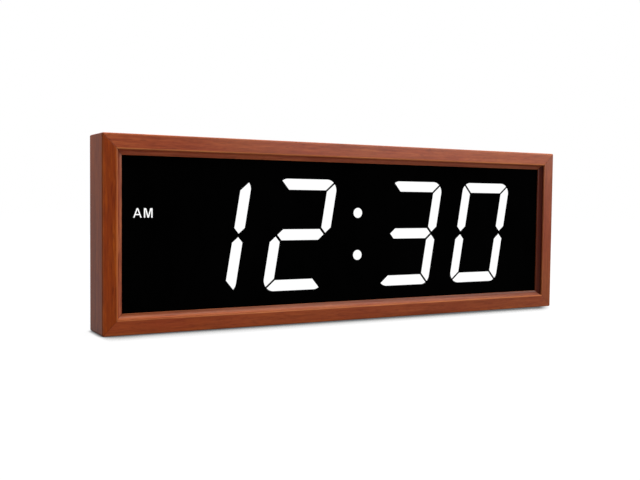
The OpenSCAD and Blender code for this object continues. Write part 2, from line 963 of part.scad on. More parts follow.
// Capacitors: a can on a square base
module filter_capacitors() {
  base_t = capacitor_h / 6;
  cap_at = [inlet_x - notch_r - 2 * capacitor_d, inlet_z];
  color([0.65, 0.66, 0.68])
    for (s = [-1, 1]) {
      at = cap_at + [0, s * capacitor_d];
      slab(board_back, board_back + base_t)
        translate(at)
          square(capacitor_d + 2 * capacitor_margin, center = true);
      turned(at)
        polygon([
          [0, board_back + base_t],
          [capacitor_d / 2, board_back + base_t],
          [capacitor_d / 2, board_back + capacitor_h - base_t / 2],
          [capacitor_d / 2 - base_t / 2, board_back + capacitor_h],
          [0, board_back + capacitor_h]
        ]);
    }
}

// Infrared receiver: a block with a dome towards the lens, on three legs
module infrared_receiver() {
  at = [indicator_x, display_z];
  body_back = board_front - receiver_gap;
  color([0.08, 0.05, 0.07]) {
    slab(body_back - receiver_t, body_back)
      translate(at)
        square([receiver_w, receiver_h], center = true);
    intersection() {
      translate([at.x, body_back - receiver_t - frame_d / 2, at.y])
        sphere(d = receiver_dome_d);
      post(at, module_front, body_back, receiver_dome_d);
    }
    for (i = [-1, 0, 1])
      post(at + [i * receiver_w / 3, 0], body_back, board_front, receiver_leg_d);
  }
}

module board_screws() {
  head = board_front - board_screw_head_t;
  color(steel)
    for (p = board_screws_at)
      difference() {
        union() {
          post(p, head, board_front, board_screw_head_d);
          post(p, board_front, board_front + board_screw_l, board_screw_d);
        }
        cross_recess(p, head - over, head + recess_d, board_screw_head_d / 2);
      }
}

// Setting buttons

module push_switches() {
  bore_floor = switch_top - plunger_hold - button_travel - plunger_play;
  color([0.1, 0.1, 0.11])
    for (p = button_at)
      difference() {
        slab(board_back, switch_top)
          translate(p)
            square(switch_side, center = true);
        post(p, bore_floor, switch_top + over, plunger_d + 2 * plunger_play);
      }
}

module plunger(at) {
  color([0.75, 0.3, 0.2])
    post(at, switch_top - plunger_hold, plunger_top, plunger_d);
}

// Button: a turned cap with a crowned edge, a retaining flange and a stem that meets the plunger
module button(at) {
  r = button_d / 2;
  color([0.2, 0.2, 0.21])
    turned(at)
      polygon([
        [0, plunger_top],
        [stem_d / 2, plunger_top],
        [stem_d / 2, flange_back - flange_t],
        [r + flange_w, flange_back - flange_t],
        [r + flange_w, flange_back],
        [r, flange_back],
        [r, button_face - edge_bevel],
        [r - edge_bevel, button_face],
        [0, button_face]
      ]);
}

module set_plunger() { plunger(button_at[0]); }
module add_plunger() { plunger(button_at[1]); }
module exit_plunger() { plunger(button_at[2]); }
module set_button() { button(button_at[0]); }
module add_button() { button(button_at[1]); }
module exit_button() { button(button_at[2]); }

// Coin cell and its cap

cell_at = [cell_x, cell_z];

module cell_holder() {
  color(black_plastic)
    slab(board_back, cell_top - cell_t / 4)
      translate(cell_at)
        difference() {
          circle(cell_d / 2 + cell_play + holder_wall);
          circle(cell_d / 2 + cell_play);
        }
}

// Contact: a dished spring disc that lifts the cell off the board
module cell_contact() {
  r = contact_d / 2;
  sheet = contact_h / 4;
  color(brass)
    turned(cell_at)
      polygon([
        [0, board_back + contact_h - sheet],
        [r / 3, board_back + contact_h - sheet],
        [r * 2 / 3, board_back],
        [r, board_back],
        [r, board_back + sheet],
        [r * 2 / 3 + sheet, board_back + sheet],
        [r / 3 + sheet, board_back + contact_h],
        [0, board_back + contact_h]
      ]);
}

// Cell: a can with a slightly narrower cap towards the board
module coin_cell() {
  r = cell_d / 2;
  step = cell_t / 8;
  color(steel)
    turned(cell_at)
      polygon([
        [0, cell_bottom],
        [r - 3 * step, cell_bottom],
        [r - 3 * step, cell_bottom + step],
        [r - step, cell_bottom + 2 * step],
        [r, cell_bottom + 3 * step],
        [r, cell_top - step],
        [r - step, cell_top],
        [0, cell_top]
      ]);
}

// Cap: a disc on a neck with three bayonet lugs under the cover, turned by a coin
module cell_cap() {
  lug_from = cover_in - lug_play - lug_t;
  color([0.1, 0.1, 0.105])
    difference() {
      union() {
        turned(cell_at)
          polygon([
            [0, cell_top + cell_gap],
            [neck_r, cell_top + cell_gap],
            [neck_r, cap_seat + lug_play],
            [cap_r, cap_seat + lug_play],
            [cap_r, frame_d - cap_sink - edge_bevel],
            [cap_r - edge_bevel, frame_d - cap_sink],
            [0, frame_d - cap_sink]
          ]);
        slab(lug_from, lug_from + lug_t)
          translate(cell_at)
            for (a = [0, 120, 240])
              ring_sector(neck_r - over, lug_r, a, lug_angle);
      }
      slab(frame_d - cap_sink - coin_slot_d, frame_d)
        translate(cell_at)
          slot(coin_slot_l, coin_slot_w);
    }
}

// Power inlet

inlet_at = [inlet_x, inlet_z];

// Body: a flanged barrel with a blind socket
module inlet_body() {
  r = inlet_barrel_d / 2;
  color(black_plastic)
    difference() {
      turned(inlet_at)
        polygon([
          [inlet_shank_d / 2, inlet_back],
          [r, inlet_back],
          [r, frame_d - inlet_flange_t],
          [inlet_flange_d / 2, frame_d - inlet_flange_t],
          [inlet_flange_d / 2, frame_d - edge_bevel],
          [inlet_flange_d / 2 - edge_bevel, frame_d],
          [inlet_socket_d / 2, frame_d],
          [inlet_socket_d / 2, frame_d - inlet_socket_l],
          [inlet_shank_d / 2, frame_d - inlet_socket_l]
        ]);
      slab(inlet_back - over, frame_d - inlet_socket_l + over)
        translate(inlet_at + [0, tag_pitch / 2])
          square([tag_w, tag_t], center = true);
    }
}

// Contacts: the shouldered centre pin with its tag, and the sleeve's tag
module inlet_contacts() {
  socket_floor = frame_d - inlet_socket_l;
  color(brass) {
    post(inlet_at, inlet_back, socket_floor, inlet_shank_d);
    post(inlet_at, socket_floor, frame_d - inlet_pin_sink, inlet_pin_d);
    slab(tag_end, inlet_back)
      translate(inlet_at - [0, tag_pitch / 4])
        square([tag_w, tag_pitch / 2 + tag_t], center = true);
    slab(tag_end, socket_floor + over)
      translate(inlet_at + [0, tag_pitch / 2])
        square([tag_w, tag_t], center = true);
  }
}

module inlet_nut() {
  nut_back = cover_in - inlet_boss_t;
  color(steel)
    difference() {
      slab(nut_back - inlet_nut_t, nut_back)
        translate(inlet_at)
          circle(d = inlet_nut_af / cos(30), $fn = 6);
      post(inlet_at, nut_back - inlet_nut_t - over, nut_back + over, inlet_barrel_d + 2 * thread_play);
    }
}

// Wires: from each tag to the strip of board beside the notch
module inlet_wires() {
  for (s = [-1, 1])
    color(s < 0 ? [0.75, 0.08, 0.06] : [0.08, 0.08, 0.08])
      translate([0, 0, inlet_z + s * tag_pitch / 2]) {
        translate([wire_x, wire_y - frame_d / 2, 0]) {
          rotate([0, 90, 0])
            cylinder(d = wire_d, h = inlet_x - tag_w / 2 - wire_x);
          sphere(d = wire_d);
        }
        post([wire_x, 0], wire_y, board_front, wire_d);
      }
}

// Hangers

module keyhole() {
  circle(d = entry_d);
  translate([-slot_w / 2, 0])
    square([slot_w, slot_rise]);
  translate([0, slot_rise])
    circle(d = slot_w);
}

module hanger(x) {
  color(steel)
    difference() {
      slab(frame_d - hanger_t, frame_d)
        difference() {
          translate([x, keyhole_mid])
            rounded(hanger_w, hanger_h, hanger_corner_r);
          translate([x, hanger_z])
            keyhole();
        }
      for (p = hanger_screws_at)
        countersink(p, hanger_screw_d, hanger_screw_head_d, hanger_t + over);
    }
}

module left_hanger() { hanger(-hanger_spacing / 2); }
module right_hanger() { hanger(hanger_spacing / 2); }

// Countersunk screws in the back face

// The hole that a countersunk screw goes through
module countersink(at, d, head_d, l) {
  turned(at)
    polygon([
      [0, frame_d - l],
      [d / 2 + screw_play, frame_d - l],
      [d / 2 + screw_play, frame_d - (head_d - d) / 2],
      [head_d / 2 + screw_play, frame_d],
      [head_d / 2 + screw_play, frame_d + over],
      [0, frame_d + over]
    ]);
}

module countersunk_screw(at, d, head_d, l) {
  tip = d;
  difference() {
    turned(at)
      polygon([
        [0, frame_d - l],
        [d / 2, frame_d - l + tip],
        [d / 2, frame_d - (head_d - d) / 2],
        [head_d / 2, frame_d],
        [0, frame_d]
      ]);
    cross_recess(at, frame_d - recess_d, frame_d + over, head_d / 2);
  }
}

module cover_screws() {
  color(steel)
    for (p = cover_screws_at)
      countersunk_screw(p, cover_screw_d, cover_screw_head_d, cover_screw_l);
}

module hanger_screws() {
  color(steel)
    for (p = hanger_screws_at)
      countersunk_screw(p, hanger_screw_d, hanger_screw_head_d, hanger_screw_l);
}

// Rear cover

// The plate with its rim, standoffs and bosses
module cover_body() {
  slab(cover_in, frame_d)
    translate([0, middle_z])
      rounded(cover_w, cover_h, cover_corner_r);
  slab(cover_in - rim_h, cover_in)
    translate([0, middle_z])
      ring(inner_w - 2 * cover_play, inner_h - 2 * cover_play, rim_t);
  for (p = board_screws_at)
    post(p, board_back, cover_in, standoff_d);
  for (p = hanger_screws_at)
    post(p, cover_in - hanger_boss_h, cover_in, hanger_boss_d);
  post(inlet_at, cover_in - inlet_boss_t, cover_in, inlet_flange_d);
}

// Openings for the buttons, the cap, the inlet and the hangers
module cover_cuts() {
  dish_w = 2 * button_pitch + button_d + 2 * dish_margin;
  dish_h = button_d + 2 * dish_margin;
  slab(frame_d - dish_d, frame_d + over)
    translate(button_at[1])
      slot(dish_w, dish_h);
  for (p = button_at)
    post(p, cover_in - over, frame_d, button_d + 2 * button_play);
  post(cell_at, cap_seat, frame_d + over, 2 * (cap_r + cap_play));
  slab(cover_in - over, cap_seat + over)
    translate(cell_at) {
      circle(neck_r + cap_play);
      for (a = [0, 120, 240])
        ring_sector(neck_r - over, lug_r + cap_play, a - cap_turn, lug_angle + lug_spare);
    }
  post(inlet_at, frame_d - inlet_flange_t, frame_d + over, inlet_flange_d + 2 * inlet_play);
  post(inlet_at, cover_in - inlet_boss_t - over, frame_d, inlet_barrel_d + 2 * thread_play);
  for (x = [-hanger_spacing / 2, hanger_spacing / 2]) {
    slab(frame_d - hanger_t, frame_d + over)
      translate([x, keyhole_mid])
        rounded(hanger_w + 2 * hanger_play, hanger_h + 2 * hanger_play, hanger_corner_r);
    slab(cover_in - over, frame_d)
      translate([x, keyhole_mid])
        square([entry_d + 2 * window_margin, keyhole_h + 2 * window_margin], center = true);
  }
}

module back_cover() {
  pilot_end = board_front + board_screw_l + thread_play;
  color(black_plastic)
    difference() {
      cover_body();
      cover_cuts();
      for (p = cover_screws_at)
        countersink(p, cover_screw_d, cover_screw_head_d, cover_t + over);
      for (p = board_screws_at)
        post(p, board_back - over, pilot_end, board_screw_d + 2 * thread_play);
      for (p = hanger_screws_at)
        post(p, frame_d - hanger_screw_l - thread_play, frame_d, hanger_screw_d + 2 * thread_play);
      slab(cover_in - over, frame_d + over)
        for (i = [0 : vent_count - 1])
          translate([(i - (vent_count - 1) / 2) * vent_pitch, vent_z])
            rotate(90)
              slot(vent_l, vent_w);
    }
}

top_rail();
bottom_rail();
left_stile();
right_stile();
corner_nails();
lens_tape();
lens();
hour_tens_housing();
hour_units_housing();
minute_tens_housing();
minute_units_housing();
hour_tens_segments();
hour_units_segments();
minute_tens_segments();
minute_units_segments();
colon_housing();
colon_dots();
indicator_housing();
indicator_diffusers();
legend_film();
main_board();
segment_leds();
control_chips();
clock_crystal();
filter_capacitors();
infrared_receiver();
board_screws();
push_switches();
set_plunger();
add_plunger();
exit_plunger();
set_button();
add_button();
exit_button();
cell_holder();
cell_contact();
coin_cell();
cell_cap();
inlet_body();
inlet_contacts();
inlet_nut();
inlet_wires();
back_cover();
cover_screws();
left_hanger();
right_hanger();
hanger_screws();
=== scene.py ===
"""Looks of a digital wall clock in a mitred wooden frame.

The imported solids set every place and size. The four lengths of moulding are rebuilt with eased edges and fine
joints, the lit segments and the legend are laid on the smoked lens, and every other solid keeps its shape and
gets a finish. Metres throughout, with millimetres turned into metres by MM.
"""
import json
import math

import bmesh
import bpy
from mathutils import Matrix, Vector


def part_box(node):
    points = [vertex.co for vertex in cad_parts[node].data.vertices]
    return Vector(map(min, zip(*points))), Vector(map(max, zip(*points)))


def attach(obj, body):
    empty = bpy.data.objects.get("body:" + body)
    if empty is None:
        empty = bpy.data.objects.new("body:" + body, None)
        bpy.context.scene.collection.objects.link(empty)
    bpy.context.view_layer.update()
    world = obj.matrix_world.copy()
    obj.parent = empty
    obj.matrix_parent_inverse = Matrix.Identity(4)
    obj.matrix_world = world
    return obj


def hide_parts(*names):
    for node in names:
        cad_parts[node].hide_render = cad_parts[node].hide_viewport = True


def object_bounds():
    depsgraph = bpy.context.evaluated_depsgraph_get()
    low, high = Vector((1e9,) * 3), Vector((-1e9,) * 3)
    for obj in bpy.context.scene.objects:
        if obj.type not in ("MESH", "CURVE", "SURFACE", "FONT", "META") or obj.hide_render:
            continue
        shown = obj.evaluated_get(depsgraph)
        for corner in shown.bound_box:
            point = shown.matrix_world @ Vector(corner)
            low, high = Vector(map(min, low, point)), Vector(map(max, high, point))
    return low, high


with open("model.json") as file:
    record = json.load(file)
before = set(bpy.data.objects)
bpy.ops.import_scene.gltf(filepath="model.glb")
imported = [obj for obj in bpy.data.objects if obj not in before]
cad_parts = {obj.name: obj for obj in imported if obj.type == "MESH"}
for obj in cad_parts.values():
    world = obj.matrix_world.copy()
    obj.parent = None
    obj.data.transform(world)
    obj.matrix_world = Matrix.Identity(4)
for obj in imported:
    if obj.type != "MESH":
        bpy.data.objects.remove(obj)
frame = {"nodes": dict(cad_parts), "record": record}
cad_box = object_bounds()
scene = bpy.context.scene

MM = 0.001
WHITE = (1, 1, 1)
BOTTOM_LEFT, TOP_RIGHT = cad_box
FRAME_W = TOP_RIGHT.x - BOTTOM_LEFT.x
FRAME_D = TOP_RIGHT.y - BOTTOM_LEFT.y
FRAME_H = TOP_RIGHT.z - BOTTOM_LEFT.z
LENS_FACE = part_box("lens")[0].y


# Materials

# The usual spread of a noise
NOISE_LOW = 0.3
NOISE_HIGH = 0.7

# Places of the colour sockets on a Mix node
MIX_SHARE = 0
MIX_FIRST = 6
MIX_SECOND = 7
MIX_RESULT = 2


class Finish:
    """A material with a Principled shader, and short calls for the nodes that feed it."""

    def __init__(self, name, **constants):
        self.material = bpy.data.materials.new(name)
        self.material.use_nodes = True
        self.tree = self.material.node_tree
        self.shader = self.tree.nodes["Principled BSDF"]
        self.feed(self.shader, constants)

    def join(self, value, socket):
        """Links an input if the value is a socket, and otherwise sets it to a constant."""
        if isinstance(value, bpy.types.NodeSocket):
            self.tree.links.new(value, socket)
        else:
            socket.default_value = value

    def feed(self, node, values):
        """Sets a node's inputs by name, with _ for a space."""
        for name, value in values.items():
            self.join(value, node.inputs[name.replace("_", " ")])

    def node(self, kind, values=None, **settings):
        """A new node with its settings and inputs."""
        node = self.tree.nodes.new(kind)
        for name, value in settings.items():
            setattr(node, name, value)
        self.feed(node, values or {})
        return node

    def place(self, stretch=(1, 1, 1), shift=(0, 0, 0)):
        """Places on the object in metres, stretched and shifted."""
        where = self.node("ShaderNodeTexCoord").outputs["Object"]
        mapped = self.node("ShaderNodeMapping", {"Vector": where, "Scale": stretch, "Location": shift})
        return mapped.outputs["Vector"]

    def parts(self, where):
        """The X, Y and Z of a place."""
        return self.node("ShaderNodeSeparateXYZ", {"Vector": where}).outputs

    def noise(self, where, scale, detail=3.0, roughness=0.55, distortion=0.0):
        """A noise, with its scale in cells per metre."""
        values = {"Vector": where, "Scale": scale, "Detail": detail, "Roughness": roughness,
                  "Distortion": distortion}
        return self.node("ShaderNodeTexNoise", values).outputs["Fac"]

    def ramp(self, share, *stops):
        """A colour or grey that runs through stops of (share, colour)."""
        node = self.node("ShaderNodeValToRGB", {"Fac": share})
        band = node.color_ramp.elements
        while len(band) < len(stops):
            band.new(0.5)
        for element, (at, colour) in zip(band, stops):
            element.position = at
            element.color = (*colour, 1) if isinstance(colour, tuple) else (colour, colour, colour, 1)
        return node.outputs["Color"]

    def shade(self, noise, dark, light):
        """A colour or grey that runs from dark to light over a noise's usual spread."""
        return self.ramp(noise, (NOISE_LOW, dark), (NOISE_HIGH, light))

    def mix(self, share, first, second, blend="MIX"):
        """Two colours, mixed by a share."""
        node = self.node("ShaderNodeMix", data_type="RGBA", blend_type=blend)
        for index, value in ((MIX_SHARE, share), (MIX_FIRST, first), (MIX_SECOND, second)):
            self.join((*value, 1) if isinstance(value, tuple) else value, node.inputs[index])
        return node.outputs[MIX_RESULT]

    def math(self, operation, *values):
        """One step of arithmetic."""
        node = self.node("ShaderNodeMath", operation=operation)
        for index, value in enumerate(values):
            self.join(value, node.inputs[index])
        return node.outputs["Value"]

    def span(self, value, start, end, low=0.0, high=1.0, smooth=False):
        """Takes a value from one range to another and holds it there, with soft ends if smooth."""
        values = {"Value": value, "From Min": start, "From Max": end, "To Min": low, "To Max": high}
        kind = "SMOOTHSTEP" if smooth else "LINEAR"
        return self.node("ShaderNodeMapRange", values, interpolation_type=kind).outputs["Result"]

    def level(self, noise, low, high):
        """A noise's usual spread, turned into a range of values."""
        return self.span(noise, NOISE_LOW, NOISE_HIGH, low, high)

    def attribute(self, name):
        """A number that the mesh carries."""
        return self.node("ShaderNodeAttribute", attribute_name=name).outputs["Fac"]

    def bump(self, height, strength, distance):
        """Normals of a small relief."""
        values = {"Height": height, "Strength": strength, "Distance": distance}
        return self.node("ShaderNodeBump", values).outputs["Normal"]


# Noises of the grain: the share of its scale that each keeps along it, scale, detail, roughness, distortion
GRAIN = {
    "fibres": (0.025, 1300, 4, 0.6, 0.3),
    "dashes": (0.09, 800, 2, 0.5, 0.4),
    "streaks": (0.05, 300, 3, 0.55, 0.8),
    "hue": (0.12, 120, 2, 0.5, 0.6),
    "mottle": (0.5, 45, 2, 0.5, 0.0),
    "pores": (0.06, 3200, 1, 0.4, 0.0),
}

# What each adds to the figure, the figure's reach to either side of its mean, and the shift for each seed
GRAIN_SHARES = {"fibres": 0.2, "dashes": 0.4, "streaks": 0.4}
GRAIN_REACH = 0.26
SEED_SHIFT = (0.37, 0.53, 0.71)

# Colours of the stain: where each lies in the grain, then the tints over it and the most that they cover
STAIN = (
    (0.10, (0.105, 0.0140, 0.0030)),
    (0.40, (0.180, 0.0310, 0.0064)),
    (0.60, (0.230, 0.0440, 0.0088)),
    (0.90, (0.330, 0.0800, 0.0150)),
)
RED_STAIN = (0.235, 0.034, 0.0085)
RED_MOST = 0.45
GOLD_STAIN = (0.290, 0.072, 0.0120)
GOLD_MOST = 0.30
PORE_STAIN = (0.085, 0.014, 0.004)
PORE_COVER = ((0.58, 0.0), (0.70, 0.45))
# Lighter colour of the edges and its spread: stain rubbed thin, and a painted highlight along the arrises
WORN_HIGHLIGHT_STAIN = (0.430, 0.140, 0.042)
WORN_HIGHLIGHT_SPREAD = (0.5, 1.2)
JOINT_STAIN = (0.07, 0.013, 0.005)
JOINT_MOST = 0.35

# Mark on the wood at the start of the cove, which rises to 1 at its end
COVE_START = 0.5


def stained_wood(name, along, seed, tints=(WHITE, WHITE), coves=((WHITE, WHITE),) * 2, figure=1.0, wear_and_highlight=0.6,
                 coat=0.28):
    """Reddish brown stain under satin lacquer, with its grain along one axis.

    Each length of wood has its own tint at either end, partly its own tone and partly painted sheen and light
    that change along it, further tints at the start of its cove and deep in it at either end, which are painted
    highlight and painted shade in the hollow, and its own strength of figure, of rubbed edges with their
    painted highlight, and weight of lacquer.
    """
    finish = Finish(name, Specular_IOR_Level=0.0, Coat_Weight=coat, Coat_IOR=1.4, Coat_Roughness=0.25)
    shift = [seed * part for part in SEED_SHIFT]
    layers = {}
    for layer, (stretch, *look) in GRAIN.items():
        drawn = [stretch if axis == along else 1.0 for axis in range(3)]
        layers[layer] = finish.noise(finish.place(drawn, shift), *look)

    grain = 0.0
    for layer, share in GRAIN_SHARES.items():
        grain = finish.math("MULTIPLY_ADD", layers[layer], share, grain)
    reach = GRAIN_REACH * figure
    colour = finish.ramp(finish.level(grain, 0.5 - reach, 0.5 + reach), *STAIN)
    colour = finish.mix(finish.level(layers["hue"], 0.0, RED_MOST), colour, RED_STAIN)
    colour = finish.mix(finish.level(layers["mottle"], 0.0, GOLD_MOST), colour, GOLD_STAIN)
    colour = finish.mix(finish.ramp(layers["pores"], *PORE_COVER), colour, PORE_STAIN)

    # Tints along each length, partly the wood's own tone and partly painted sheen and light that change along
    # it
    drift = finish.span(finish.parts(finish.place())[along], BOTTOM_LEFT[along], TOP_RIGHT[along])
    colour = finish.mix(1.0, colour, finish.mix(drift, *tints), "MULTIPLY")
    # Painted highlight and painted shade in the cove, as tints from its start to deep in it
    mark = finish.attribute("cove")
    painted_cove_light = [finish.ramp(mark, (0.0, WHITE), (COVE_START, start), (1.0, deep)) for start, deep in coves]
    colour = finish.mix(1.0, colour, finish.mix(drift, *painted_cove_light), "MULTIPLY")

    # Lighter edges: stain rubbed thin, with a painted highlight along the arrises
    patchy = finish.level(layers["streaks"], *(wear_and_highlight * share for share in WORN_HIGHLIGHT_SPREAD))
    colour = finish.mix(finish.math("MULTIPLY", finish.attribute("worn_and_highlit"), patchy), colour, WORN_HIGHLIGHT_STAIN)
    joint = finish.math("MULTIPLY", finish.attribute("joint"), JOINT_MOST)
    finish.feed(finish.shader, {
        "Base_Color": finish.mix(joint, colour, JOINT_STAIN),
        "Roughness": finish.level(layers["fibres"], 0.46, 0.58),
        "Normal": finish.bump(layers["fibres"], strength=0.10, distance=0.12 * MM),
    })
    return finish.material


def smoked_acrylic():
    """Nearly black lens with faint smears in its colour and its gloss."""
    finish = Finish("smoked_acrylic", Specular_IOR_Level=0.0005)
    smears = finish.noise(finish.place((1, 1, 0.4)), scale=28, detail=3, roughness=0.6, distortion=0.8)
    finish.feed(finish.shader, {
        "Base_Color": finish.shade(smears, 0.0003, 0.0006),
        "Roughness": finish.level(smears, 0.10, 0.18),
    })
    return finish.material


def lit_white():
    """Light from a diffuser, as it shows on the lens: white at strength 1, over the lens's own dark."""
    finish = Finish("lit_white", Emission_Color=(*WHITE, 1), Specular_IOR_Level=0.0)
    frost = finish.noise(finish.place(), scale=1800, detail=2)
    finish.feed(finish.shader, {
        "Base_Color": finish.shade(frost, 0.010, 0.020),
        "Roughness": finish.level(frost, 0.45, 0.6),
        "Emission_Strength": finish.level(frost, 0.98, 1.02),
    })
    return finish.material


def moulded_plastic(name, dark, light, roughness, grain, depth):
    """Moulded plastic with a slow drift in its colour, and a sparked grain, sized in millimetres."""
    finish = Finish(name)
    drift = finish.noise(finish.place(), scale=35)
    spark = finish.noise(finish.place(), scale=1 / (grain * MM), detail=2, roughness=0.6)
    finish.feed(finish.shader, {
        "Base_Color": finish.shade(drift, dark, light),
        "Roughness": finish.level(spark, roughness - 0.06, roughness + 0.06),
        "Normal": finish.bump(spark, strength=0.35, distance=depth * MM),
    })
    return finish.material


def plated_metal(name, dark, light, roughness):
    """Plated metal with a cloudy tint and fine scratches."""
    finish = Finish(name, Metallic=1.0)
    cloud = finish.noise(finish.place(), scale=140, detail=4, roughness=0.6)
    scratch = finish.noise(finish.place((1, 1, 0.05)), scale=3500, detail=2)
    finish.feed(finish.shader, {
        "Base_Color": finish.ramp(cloud, (0.32, dark), (0.68, light)),
        "Roughness": finish.level(scratch, roughness - 0.07, roughness + 0.09),
        "Normal": finish.bump(scratch, strength=0.08, distance=0.02 * MM),
    })
    return finish.material


def solder_mask():
    """Green board with the weave of its laminate under the mask."""
    finish = Finish("solder_mask", Coat_Weight=0.3, Coat_Roughness=0.2)
    where = finish.place()
    cloud = finish.noise(where, scale=60)
    weave = finish.node("ShaderNodeTexChecker", {"Vector": where, "Scale": 1400.0}).outputs["Fac"]
    colour = finish.shade(cloud, (0.010, 0.060, 0.022), (0.016, 0.092, 0.034))
    finish.feed(finish.shader, {
        "Base_Color": finish.mix(finish.math("MULTIPLY", weave, 0.12), colour, (0.03, 0.13, 0.05)),
        "Roughness": finish.level(cloud, 0.32, 0.45),
        "Normal": finish.bump(weave, strength=0.1, distance=0.02 * MM),
    })
    return finish.material


# Pieces made from points

# Edges that turn by more than this stay sharp, and points closer than this become one
SHARP_TURN = math.radians(35)
WELD = 1e-6


def clean_mesh(mesh, weld=False):
    """Turns a mesh's normals outward, after joining its double points if asked."""
    work = bmesh.new()
    work.from_mesh(mesh)
    if weld:
        bmesh.ops.remove_doubles(work, verts=work.verts, dist=WELD)
    bmesh.ops.recalc_face_normals(work, faces=work.faces)
    work.to_mesh(mesh)
    work.free()


def new_piece(name, points, faces):
    """A closed mesh with its normals outward, smooth except across sharp edges."""
    mesh = bpy.data.meshes.new(name)
    mesh.from_pydata(points, [], faces)
    clean_mesh(mesh)
    mesh.shade_smooth()
    mesh.set_sharp_from_angle(angle=SHARP_TURN)
    piece = bpy.data.objects.new(name, mesh)
    scene.collection.objects.link(piece)
    return piece


def finish_piece(piece, material):
    """Gives a new piece its material and its slot, and fixes it to the case."""
    piece.data.materials.clear()
    piece.data.materials.append(material)
    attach(piece, "case")


def inset(outline, amount):
    """An outline drawn in by an amount. It runs clockwise, or the other way round a hole."""
    moved = []
    for i, here in enumerate(outline):
        before, after = outline[i - 1], outline[(i + 1) % len(outline)]
        first = Vector((here.y - before.y, before.x - here.x)).normalized()
        second = Vector((after.y - here.y, here.x - after.x)).normalized()
        moved.append(here + (first + second) * amount / (1 + first.dot(second)))
    return moved


def bridge(first, second, count):
    """Faces between two rings of points, from the place of each ring's first point."""
    after = [(i + 1) % count for i in range(count)]
    return [(first + i, first + after[i], second + after[i], second + i) for i in range(count)]


# Moulding of the frame

# Section, as the solids have it, apart from a slightly wider face and narrower cove
FACE_W = 9.35 * MM
QUIRK_W = 0.4 * MM
QUIRK_D = 0.5 * MM
COVE_W = 3.15 * MM
COVE_D = 3.0 * MM
LIP_T = 1.0 * MM
LIP_W = 3.4 * MM
LEDGE_W = 6.5 * MM
COVER_T = 3.0 * MM
ARRIS_R = 0.8 * MM
CORNER_R = 1.0 * MM
SIGHT_W = FACE_W + QUIRK_W + COVE_W
WALL_T = SIGHT_W - LIP_W

# Small eases that the solids leave square: the face's inner edge, the cove's two ends in degrees, the mitres,
# and how far from a mitre its dark line fades out
EASE_R = 0.25 * MM
EASE_TURN = 4.0
JOINT_EASE = 0.06 * MM
JOINT_FADE = 0.5 * MM

# Steps of the round stretches, and the turns in degrees on a rounded corner from its mitre to its side
ARRIS_STEPS = 6
EASE_STEPS = 4
FINE_STEPS = 2
COVE_STEPS = 14
CORNER_TURNS = (45, 30, 15, 0)

# Wear on each edge, up to 1 where the stain is rubbed thin and lighter, which also paints a highlight along
# the arrises, and how far it reaches past an edge
OUTER_WEAR_HIGHLIGHT = 0.2
FACE_WEAR_HIGHLIGHT = 1.0
QUIRK_WEAR_HIGHLIGHT = 0.3
COVE_WEAR_HIGHLIGHT = 0.4
SIGHT_WEAR_HIGHLIGHT = 0.3
REAR_WEAR_HIGHLIGHT = 1.0
WORN_HIGHLIGHT_W = 0.6 * MM


def arc(centre, radius, start, end, steps):
    """Points on an arc, as depth and distance from the outer edge, between two angles in degrees."""
    turns = [math.radians(start + (end - start) * i / steps) for i in range(steps + 1)]
    return [(centre[0] + radius * math.cos(t), centre[1] + radius * math.sin(t)) for t in turns]


def moulding_section():
    """The section's points as (depth, distance from the outer edge), with the edge mark and the cove of each.

    The edge mark is 1 where the stain is rubbed thin and lighter, and there it also lays a painted highlight
    along the arrises. Cove rises from the cove's start to 1 at its end.
    """
    lip_front = QUIRK_D + COVE_D
    lip_back = lip_front + LIP_T
    cove_r = (COVE_W ** 2 + COVE_D ** 2) / (2 * COVE_D)
    cove_start = math.degrees(math.asin(COVE_W / cove_r))
    cover_in = FRAME_D - COVER_T
    fine_r = EASE_R / 2
    section, wear_and_highlight, cove = [], [], []

    def add(points, worn_and_highlit=0.0, coved=0.0):
        section.extend(Vector(point) for point in points)
        wear_and_highlight.extend(worn_and_highlit for point in points)
        cove.extend(coved for point in points)

    add([(ARRIS_R + WORN_HIGHLIGHT_W, 0)])
    add(arc((ARRIS_R, ARRIS_R), ARRIS_R, -90, -180, ARRIS_STEPS), OUTER_WEAR_HIGHLIGHT)
    add([(0, ARRIS_R + WORN_HIGHLIGHT_W), (0, FACE_W - EASE_R - WORN_HIGHLIGHT_W)])
    add(arc((EASE_R, FACE_W - EASE_R), EASE_R, 180, 90, EASE_STEPS), FACE_WEAR_HIGHLIGHT)
    add([(QUIRK_D, FACE_W)], QUIRK_WEAR_HIGHLIGHT)
    add(arc((QUIRK_D + fine_r, FACE_W + QUIRK_W - fine_r), fine_r, 180, 90, FINE_STEPS), COVE_WEAR_HIGHLIGHT)
    hollow = arc((lip_front - cove_r, SIGHT_W), cove_r, EASE_TURN - cove_start, -EASE_TURN, COVE_STEPS)
    for i, point in enumerate(hollow):
        add([point], coved=COVE_START + (1 - COVE_START) * i / COVE_STEPS)
    add(arc((lip_front + fine_r, SIGHT_W - fine_r), fine_r, 180, 90, FINE_STEPS), SIGHT_WEAR_HIGHLIGHT, coved=1.0)
    add([(lip_back, SIGHT_W), (lip_back, WALL_T), (cover_in, WALL_T)])
    add([(cover_in, WALL_T - LEDGE_W), (FRAME_D, WALL_T - LEDGE_W)])
    add([(FRAME_D, ARRIS_R + WORN_HIGHLIGHT_W)])
    add(arc((FRAME_D - ARRIS_R, ARRIS_R), ARRIS_R, 0, -90, ARRIS_STEPS), REAR_WEAR_HIGHLIGHT)
    add([(FRAME_D - ARRIS_R - WORN_HIGHLIGHT_W, 0)])
    return section, wear_and_highlight, cove


def corner_place(out, turn):
    """How far a point lies from the rail's end and from its outer face, on the rounded corner at a turn."""
    if out >= CORNER_R:
        return out, out
    reach = CORNER_R - out
    return CORNER_R - reach * math.sin(turn), CORNER_R - reach * math.cos(turn)


